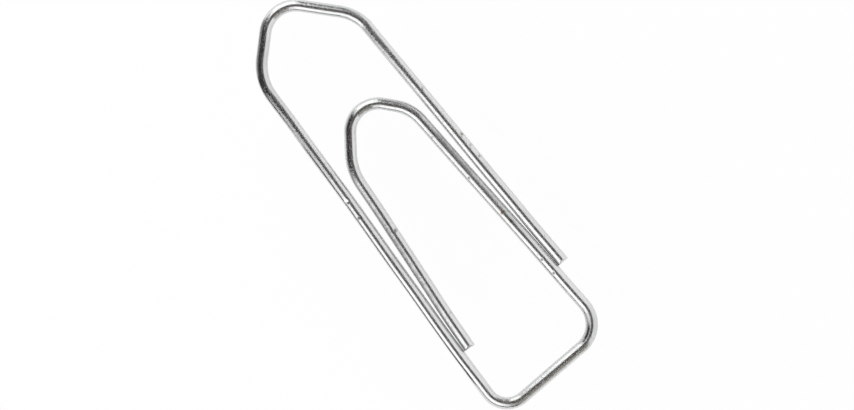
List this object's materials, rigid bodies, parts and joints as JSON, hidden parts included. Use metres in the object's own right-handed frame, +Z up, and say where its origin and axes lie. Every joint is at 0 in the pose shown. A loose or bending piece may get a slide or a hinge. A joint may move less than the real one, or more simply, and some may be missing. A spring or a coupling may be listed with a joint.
{
  "type": "paper clip",
  "caption": "Flat bent-wire paper clip with a pointed nose and a square heel. The sprung inner loop lifts out of the outer loop to grip sheets of paper.",
  "frame": {"origin": "under the middle of the clip's outline, on the surface that it lies on", "axes": "+X from the square heel to the pointed nose, +Y across the loops towards the outer long leg, +Z up, square to the flat clip"},
  "size_m": [0.0324, 0.0112, 0.0008],
  "materials": {
    "plated_wire": "bright plated drawn wire"
  },
  "bodies": {
    "outer_loop": {"outer_free_leg": "plated_wire", "outer_nose": "plated_wire", "outer_long_leg": "plated_wire", "heel_outer_half": "plated_wire"},
    "inner_loop": {"heel_inner_half": "plated_wire", "inner_long_leg": "plated_wire", "inner_nose": "plated_wire", "inner_free_leg": "plated_wire"}
  },
  "joints": [
    {"name": "inner_loop_flex", "type": "hinge", "parent": "outer_loop", "child": "inner_loop", "pos_m": [-0.01576, 0.0008, 0.00042], "axis": [0, -1, 0], "range_deg": [-8, 8], "stiffness_Nm_per_rad": 0.19}
  ]
}
